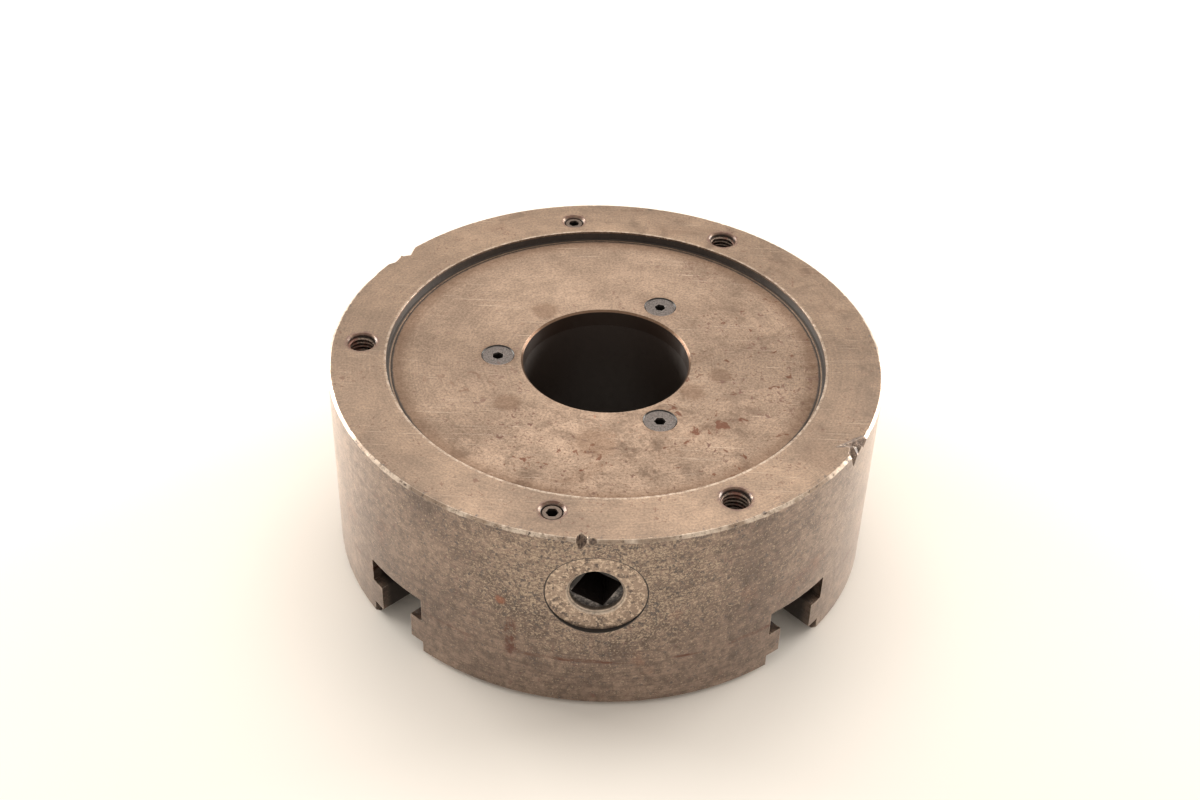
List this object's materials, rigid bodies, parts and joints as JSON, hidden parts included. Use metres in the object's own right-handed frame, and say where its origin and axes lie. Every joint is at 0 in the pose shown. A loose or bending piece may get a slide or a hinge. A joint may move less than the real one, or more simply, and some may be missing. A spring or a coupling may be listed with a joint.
{
  "type": "lathe chuck",
  "caption": "Self-centring scroll chuck with a recessed back plate, key-driven bevel pinions and sliding base jaws.",
  "frame": {"origin": "centre of the front face, on the chuck's axis, where the chuck rests when it lies face down", "axes": "+Z along the chuck's axis from the front face to the back face; -Y towards the front pinion; +X to the right as seen from that pinion"},
  "size_m": [0.16, 0.16, 0.062],
  "materials": {
    "body_iron": "machined and worn",
    "plate_steel": "ground, stained, with rust flecks",
    "screw_steel": "blackened",
    "pinion_steel": "ground and worn",
    "gear_steel": "machined and oiled",
    "jaw_steel": "ground"
  },
  "bodies": {
    "body": {"chuck_body": "body_iron", "back_plate": "plate_steel", "back_plate_screw_1": "screw_steel", "back_plate_screw_2": "screw_steel", "back_plate_screw_3": "screw_steel", "pinion_retaining_screw_front": "screw_steel", "pinion_retaining_screw_back": "screw_steel"},
    "scroll": {"scroll_plate": "gear_steel"},
    "front_pinion": {"pinion_front": "pinion_steel"},
    "back_pinion": {"pinion_back": "pinion_steel"},
    "jaw_1": {"base_jaw_1": "jaw_steel"},
    "jaw_2": {"base_jaw_2": "jaw_steel"},
    "jaw_3": {"base_jaw_3": "jaw_steel"},
    "jaw_4": {"base_jaw_4": "jaw_steel"}
  },
  "joints": [
    {"name": "scroll_turn", "type": "hinge", "parent": "body", "child": "scroll", "pos_m": [0, 0, 0.03], "axis": [0, 0, 1], "range_deg": [-1080, 720]},
    {"name": "front_pinion_turn", "type": "hinge", "parent": "body", "child": "front_pinion", "pos_m": [0, -0.07, 0.0424], "axis": [0, -1, 0], "range_deg": [-5400, 3600]},
    {"name": "back_pinion_turn", "type": "hinge", "parent": "body", "child": "back_pinion", "pos_m": [0, 0.07, 0.0424], "axis": [0, 1, 0], "range_deg": [-5400, 3600]},
    {"name": "jaw_1_slide", "type": "slide", "parent": "body", "child": "jaw_1", "axis": [0.7071, 0.7071, 0], "range_m": [-0.0211, 0.0141]},
    {"name": "jaw_2_slide", "type": "slide", "parent": "body", "child": "jaw_2", "axis": [-0.7071, 0.7071, 0], "range_m": [-0.0211, 0.0141]},
    {"name": "jaw_3_slide", "type": "slide", "parent": "body", "child": "jaw_3", "axis": [-0.7071, -0.7071, 0], "range_m": [-0.0211, 0.0141]},
    {"name": "jaw_4_slide", "type": "slide", "parent": "body", "child": "jaw_4", "axis": [0.7071, -0.7071, 0], "range_m": [-0.0211, 0.0141]}
  ],
  "couplings": [
    {"joint": "front_pinion_turn", "follows": "scroll_turn", "ratio": 5},
    {"joint": "back_pinion_turn", "follows": "scroll_turn", "ratio": 5},
    {"joint": "jaw_1_slide", "follows": "scroll_turn", "m_per_rad": 0.0011141},
    {"joint": "jaw_2_slide", "follows": "scroll_turn", "m_per_rad": 0.0011141},
    {"joint": "jaw_3_slide", "follows": "scroll_turn", "m_per_rad": 0.0011141},
    {"joint": "jaw_4_slide", "follows": "scroll_turn", "m_per_rad": 0.0011141}
  ]
}
